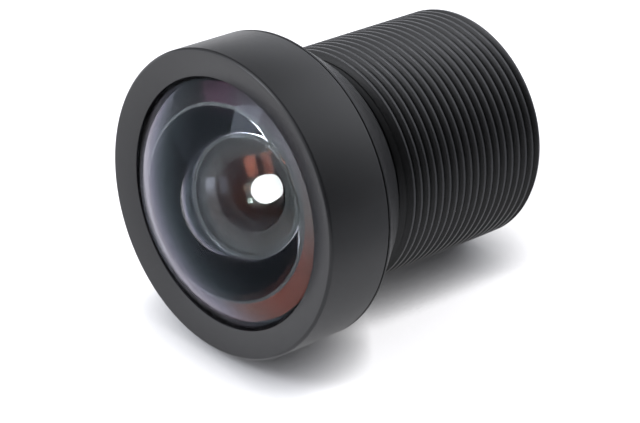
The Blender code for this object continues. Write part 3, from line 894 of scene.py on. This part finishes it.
def tintedLandPaintedReflection():
    # The coated land behind the front glass, with painted reflection and shade round the axis: its
    # colour turns from amber to violet, with a dark patch of painted shade
    material, tree, shader = newMaterial("coatedLandPaintedReflection")
    groundGrain(tree, shader, groundGlass["hueRoughness"])
    angle = addNode(tree, "ShaderNodeTexGradient", gradient_type="RADIAL")
    tree.links.new(objectPlace(tree), angle.inputs["Vector"])
    tree.links.new(colourRamp(tree, angle.outputs["Fac"], landPaintedReflection), shader.inputs["Base Color"])
    return material


def frostedLandPaintedShade():
    # The frosted land behind the second glass, with painted shade: pale near its rim and darker towards
    # the hollow
    material, tree, shader = newMaterial("frostedLandPaintedShade")
    groundGrain(tree, shader, groundGlass["inkRoughness"])
    rim = glasses["lens_2"]["rim"]
    outward = mathNode(tree, "DIVIDE", axisDistance(tree), rim * mm)
    shades = colourRamp(tree, outward, [(radius / rim, shade) for radius, shade in landPaintedShade])
    tree.links.new(shades, shader.inputs["Base Color"])
    return material


# Glass, in millimetres. Curves above zero have their centre behind the surface, as seen from the
# front. The land is the part of the ring behind, from the hollow outwards, coloured with painted
# reflection and shade on the front glass and frosted with painted shade on the second

blackInk = (0.015, 0.015, 0.016)

glasses = {
    "lens_1": {
        "name": "frontGlass", "front": 9.13, "rear": 4.07, "thickness": 0.95, "rim": 6.90,
        "frontClear": 6.24, "rearClear": 3.96, "ledge": 0.11, "bevel": 0.07, "land": 1.10,
        "ior": 1.77, "tint": (0.997, 0.996, 1.0), "coat": violetCoat, "ink": (0.012, 0.012, 0.014),
    },
    "lens_2": {
        # Its land is frosted out to the rim
        "name": "secondGlass", "front": 10.90, "rear": 2.72, "thickness": 1.90, "rim": 5.00,
        "frontClear": 3.70, "rearClear": 2.549, "ledge": 0.0, "bevel": 0.04, "land": 5.00,
        "ior": 1.54, "tint": (0.996, 1.0, 0.998), "coat": amberCoat, "ink": (0.240, 0.265, 0.260),
    },
    "lens_3": {
        "name": "thirdGlass", "front": 7.45, "rear": -5.32, "thickness": 2.052, "rim": 3.10,
        "frontClear": 3.10, "rearClear": 3.10, "ledge": 0.0, "bevel": 0.0, "land": 0.0,
        "ior": 1.85, "tint": (0.999, 0.998, 0.99), "coat": greenCoat, "ink": blackInk,
    },
    "lens_4": {
        "name": "fourthGlass", "front": 9.00, "rear": -4.30, "thickness": 2.496, "rim": 3.20,
        "frontClear": 3.20, "rearClear": 3.20, "ledge": 0.0, "bevel": 0.0, "land": 0.0,
        "ior": 1.60, "tint": (0.998, 1.0, 1.0), "coat": greenCoat, "ink": blackInk,
    },
    "lens_5": {
        "name": "fifthGlass", "front": -4.30, "rear": -14.00, "thickness": 0.60, "rim": 3.20,
        "frontClear": 3.20, "rearClear": 3.20, "ledge": 0.0, "bevel": 0.0, "land": 0.0,
        "ior": 1.80, "tint": (1.0, 0.998, 0.995), "coat": greenCoat, "ink": blackInk,
    },
    "lens_6": {
        "name": "sixthGlass", "front": 7.50, "rear": -14.00, "thickness": 2.298, "rim": 3.90,
        "frontClear": 3.90, "rearClear": 3.90, "ledge": 0.0, "bevel": 0.0, "land": 0.0,
        "ior": 1.60, "tint": (0.998, 1.0, 0.998), "coat": greenCoat, "ink": blackInk,
    },
}
lengthKeys = ("front", "rear", "thickness", "rim", "frontClear", "rearClear", "ledge", "bevel", "land")
edgeBreak = 0.03 * mm         # at the rims of the glasses
backTilt = -0.95              # a face of the flat land points back at least this much
rimTilt = 0.05                # and one of the rim points along the axis less than this

inkFace, bevelFace, landFace = 1, 2, 3


def arcOf(apex, curve, clear):
    # Points of a spherical surface from the axis out to its clear radius
    widest = math.asin(clear / abs(curve))
    points = []
    for i in range(arcSteps + 1):
        radius = abs(curve) * math.sin(widest * i / arcSteps)
        points.append((radius, apex - math.copysign(sag(curve, radius), curve)))
    return points


def makeGlass(node, ground, land):
    glass = glasses[node]
    size = {key: glass[key] * mm for key in lengthKeys}
    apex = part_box(node)[1].z
    if size["front"] < 0:
        apex -= sag(size["front"], size["frontClear"])
    front = arcOf(apex, size["front"], size["frontClear"])
    rear = arcOf(apex - size["thickness"], size["rear"], size["rearClear"])
    frontLand = front[-1][1] - size["ledge"]
    rearLand = rear[-1][1]
    landEdge = size["rearClear"] + size["land"]
    chain = front[:]
    if size["ledge"]:
        chain.append((size["frontClear"], frontLand))
    if size["rim"] > size["frontClear"]:
        chain.append((size["rim"] - edgeBreak, frontLand))
        chain.append((size["rim"], frontLand - edgeBreak))
    if size["rim"] > size["rearClear"]:
        chain.append((size["rim"], rearLand + edgeBreak))
        chain.append((size["rim"] - edgeBreak, rearLand))
    if size["bevel"]:
        # The hollow's edge is ground off, from the land to where the arc is deep enough
        if landEdge < size["rim"]:
            chain.append((landEdge, rearLand))
        chain.append((size["rearClear"] + size["bevel"], rearLand))
        rear = [point for point in rear if point[1] > rearLand + size["bevel"]]
    chain.extend(reversed(rear))
    mesh = bmesh.new()
    spinChain(mesh, chain, roundSteps)
    closeShape(mesh)
    for face in mesh.faces:
        middle = face.calc_center_median()
        radius = math.hypot(middle.x, middle.y)
        outside = face.normal.z > 0 and radius > size["frontClear"] - edgeBreak / 2
        upright = abs(face.normal.z) < rimTilt
        behind = face.normal.z < backTilt and radius > size["rearClear"]
        low = middle.z < rearLand + size["bevel"] * 1.1
        bevelled = low and radius > size["rearClear"] - size["bevel"]
        if behind and radius < landEdge:
            face.material_index = landFace
        elif outside or behind or upright:
            face.material_index = inkFace
        elif size["bevel"] and bevelled:
            face.material_index = bevelFace
    body = coatedGlass(glass["name"], glass["ior"], glass["tint"], glass["coat"])
    ink = edgeInk(glass["name"] + "Edge", glass["ink"])
    materials = [body, ink, ground, land] if size["bevel"] else [body, ink]
    slot = "front_glass" if node == "lens_1" else "inner_glass"
    return finishPiece(glass["name"], mesh, materials, slot, node)


# Rings, sheets and the stop inside: radius of the bore in front and, where it differs, behind.
# The flange is the radius of the step behind it and its thickness

innerRings = {
    "spacer_1": {"name": "firstSpacer", "front": 3.88 * mm, "finish": "spacer"},
    "light_sheet_2": {"name": "secondSheet", "front": 2.59 * mm, "finish": "film"},
    "spacer_2": {"name": "secondSpacer", "front": 2.75 * mm, "rear": 2.95 * mm, "finish": "metal",
                 "flange": (3.10 * mm, 0.32 * mm)},
    "spacer_3": {"name": "thirdSpacer", "front": 2.85 * mm, "rear": 1.60 * mm, "finish": "metal"},
    "aperture_stop": {"name": "apertureStop", "front": 0.96 * mm, "finish": "film"},
    "light_sheet_5": {"name": "fifthSheet", "front": 2.50 * mm, "finish": "film"},
    "spacer_5": {"name": "fifthSpacer", "front": 2.90 * mm, "rear": 3.40 * mm, "finish": "metal"},
    "light_sheet_6": {"name": "sixthSheet", "front": 3.30 * mm, "finish": "film"},
}
thinSheet = 0.1 * mm          # a sheet that is no thicker has sharp corners
ringCorner = 0.015 * mm


def makeInnerRings(finishes):
    # Each ring fills its node's box
    for node, ring in innerRings.items():
        low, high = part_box(node)
        rim = high.x
        points = [(ring["front"], high.z), (rim, high.z)]
        if "flange" in ring:
            step, thickness = ring["flange"]
            points += [(rim, high.z - thickness), (step, high.z - thickness), (step, low.z)]
        else:
            points.append((rim, low.z))
        points.append((ring.get("rear", ring["front"]), low.z))
        slot = "black_film" if ring["finish"] == "film" else "inner_anodised"
        corner = ringCorner if high.z - low.z > thinSheet else 0.0
        turnedRing(ring["name"], points, [finishes[ring["finish"]]], slot, node, radii=corner)


seal = {
    "cordPoints": 20,
    "steps": 96,
}


def makeSeal(rubber):
    low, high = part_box("seal_ring")
    middle = (low.z + high.z) / 2
    cord = (high.z - low.z) / 2
    centre = high.x - cord
    outline = []
    for i in range(seal["cordPoints"]):
        angle = -fullTurn * i / seal["cordPoints"]
        outline.append((centre + cord * math.cos(angle), middle + cord * math.sin(angle)))
    mesh = bmesh.new()
    spinChain(mesh, outline + outline[:1], seal["steps"])
    closeShape(mesh)
    return finishPiece("sealRing", mesh, [rubber], "seal_rubber", "seal_ring")


# Rear end

rearEnd = {
    "nose": 3.90 * mm,
    "noseHeight": 0.20 * mm,
    "bore": 3.40 * mm,
    "filterBore": 4.10 * mm,
    "seatDepth": 0.95 * mm,
    "slotPlace": 4.5 * mm,        # middle of a spanner slot, from the axis
    "slotLength": 2.2 * mm,
    "slotWidth": 0.90 * mm,
    "slotDepth": 0.45 * mm,
}


def slotCutter(side, face):
    block = bmesh.new()
    bmesh.ops.create_cube(block, size=1.0)
    bmesh.ops.scale(block, vec=(rearEnd["slotLength"], rearEnd["slotWidth"], 2 * rearEnd["slotDepth"]),
                    verts=block.verts)
    bmesh.ops.translate(block, vec=(side * rearEnd["slotPlace"], 0, face), verts=block.verts)
    data = bpy.data.meshes.new("slotCutter")
    block.to_mesh(data)
    block.free()
    return addObject("slotCutter", data)


def makeRetainingRing(metal):
    low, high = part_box("rear_retaining_ring")
    rim = high.x
    shelf = high.z - rearEnd["noseHeight"]
    seat = high.z - rearEnd["seatDepth"]
    points = [
        (rearEnd["bore"], high.z),
        (rearEnd["nose"], high.z),
        (rearEnd["nose"], shelf),
        (rim, shelf),
        (rim, low.z),
        (rearEnd["filterBore"], low.z),
        (rearEnd["filterBore"], seat),
        (rearEnd["bore"], seat),
    ]
    ring = turnedRing("rearRetainingRing", points, [metal], "black_anodised", "rear_retaining_ring")
    for side in (1, -1):
        cutter = slotCutter(side, low.z)
        cut = ring.modifiers.new("slot", "BOOLEAN")
        cut.operation = "DIFFERENCE"
        cut.object = cutter
        bpy.context.view_layer.update()
        graph = bpy.context.evaluated_depsgraph_get()
        result = bpy.data.meshes.new_from_object(ring.evaluated_get(graph), depsgraph=graph)
        ring.modifiers.clear()
        ring.data = result
        bpy.data.objects.remove(cutter, do_unlink=True)
    return ring


irFilter = {
    "ior": 1.52,
    "tint": (0.985, 0.998, 1.0),
    "bevel": 0.03 * mm,
    "ringBore": 3.50 * mm,
}


def makeFilter(ringPlastic):
    low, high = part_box("ir_filter")
    material = coatedGlass("filterGlass", irFilter["ior"], irFilter["tint"], greenCoat)
    bevel = irFilter["bevel"]
    outline = [(0.0, high.z), (high.x - bevel, high.z), (high.x, high.z - bevel),
               (high.x, low.z + bevel), (high.x - bevel, low.z), (0.0, low.z)]
    mesh = bmesh.new()
    spinChain(mesh, outline, roundSteps)
    closeShape(mesh)
    finishPiece("infraredFilter", mesh, [material], "filter_glass", "ir_filter")
    low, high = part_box("filter_ring")
    inner = irFilter["ringBore"]
    points = [(inner, high.z), (high.x, high.z), (high.x, low.z), (inner, low.z)]
    turnedRing("filterRing", points, [ringPlastic], "black_plastic", "filter_ring")


# Making it all

scene = bpy.context.scene
scene.view_settings.view_transform = "Standard"
scene.cycles.max_bounces = 40
scene.cycles.transmission_bounces = 40
scene.cycles.glossy_bounces = 12
scene.cycles.diffuse_bounces = 4
scene.cycles.sample_clamp_indirect = 25
scene.cycles.denoising_input_passes = "RGB"     # the glass's own passes are too grainy to guide it

placeCamera()
makeTable()
for lampName, lamp in lamps.items():
    makeLamp(lampName, lamp)
makeRoom()
print("camera, table and lamps are in place")

outerMetal = anodisedMetal("anodisedBlack")
flankMetalPaintedShade = anodisedMetal("anodisedThreadPaintedShade")
crestMetalPaintedHighlight = anodisedMetal("anodisedCrestPaintedHighlight")
innerMetal = anodisedMetal("anodisedInside")
spacerMetal = brightMetal()
groundEdge = groundBevel()
firstLandPaintedReflection = tintedLandPaintedReflection()
secondLandPaintedShade = frostedLandPaintedShade()
sheetFilm = mattBlack("sheetFilm")
ringPlastic = mattBlack("ringPlastic")
sealRubber = mattBlack("sealRubber")

makeBarrel(outerMetal, innerMetal, flankMetalPaintedShade, crestMetalPaintedHighlight)
makeHeadRing(outerMetal)
print("metal is turned")
for node in glasses:
    makeGlass(node, groundEdge, secondLandPaintedShade if node == "lens_2" else firstLandPaintedReflection)
makeInnerRings({"metal": innerMetal, "film": sheetFilm, "spacer": spacerMetal})
makeSeal(sealRubber)
print("glass, spacers and sheets are in")
makeRetainingRing(innerMetal)
makeFilter(ringPlastic)
print("rear end is closed")
